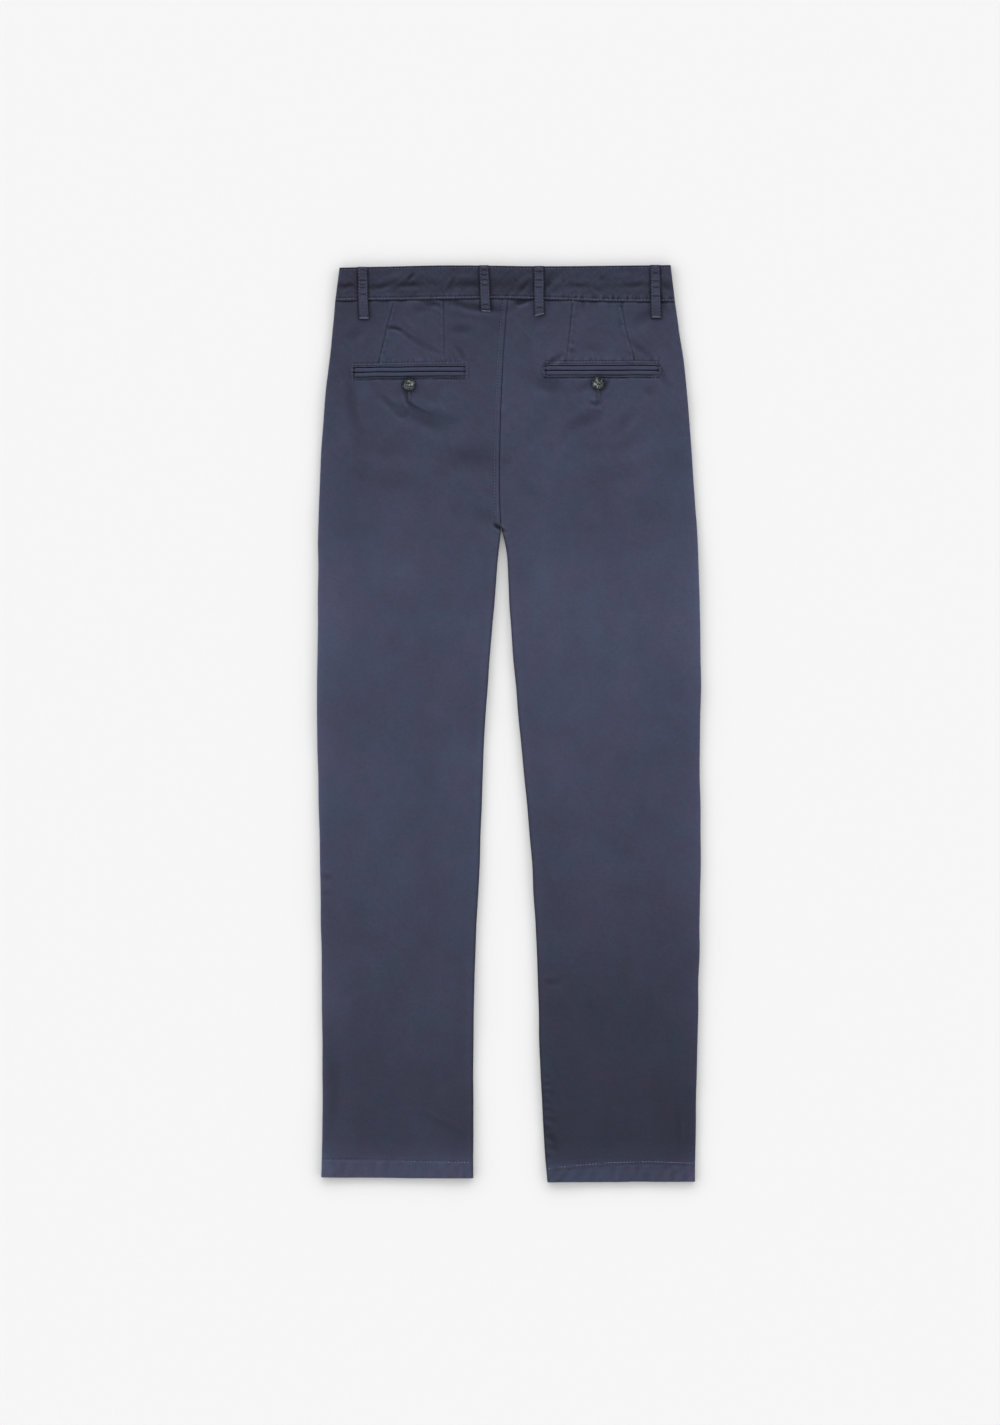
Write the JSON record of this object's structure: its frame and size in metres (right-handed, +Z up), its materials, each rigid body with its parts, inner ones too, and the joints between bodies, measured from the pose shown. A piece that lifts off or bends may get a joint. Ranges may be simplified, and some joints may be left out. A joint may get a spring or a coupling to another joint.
{
  "type": "chino trousers",
  "caption": "Navy cotton twill chino trousers laid flat with the back up: waistband with belt loops, darts, buttoned welt back pockets and straight hemmed legs.",
  "frame": {"origin": "on the floor, under the middle of the garment's length and width", "axes": "+X to the wearer's right as the garment lies back up, +Y from the hems to the waistband, +Z up through the layers from the front to the back"},
  "size_m": [0.4418, 1.0546, 0.0075],
  "materials": {
    "navy_twill": "matt garment-dyed cotton twill with a faint mottle",
    "horn_button": "polished horn-look resin, dark grey with paler streaks"
  },
  "bodies": {
    "root": {"back_panel_left": "navy_twill", "back_panel_right": "navy_twill", "front_panel_left": "navy_twill", "front_panel_right": "navy_twill", "hip_facing_left": "navy_twill", "hip_facing_right": "navy_twill", "waistband_back": "navy_twill", "waistband_front_left": "navy_twill", "waistband_front_right": "navy_twill", "belt_loop_side_left": "navy_twill", "belt_loop_back_left": "navy_twill", "belt_loop_back_right": "navy_twill", "belt_loop_side_right": "navy_twill", "welt_upper_left": "navy_twill", "welt_lower_left": "navy_twill", "welt_upper_right": "navy_twill", "welt_lower_right": "navy_twill", "pocket_button_left": "horn_button", "pocket_button_right": "horn_button", "waist_button": "horn_button"}
  },
  "joints": []
}
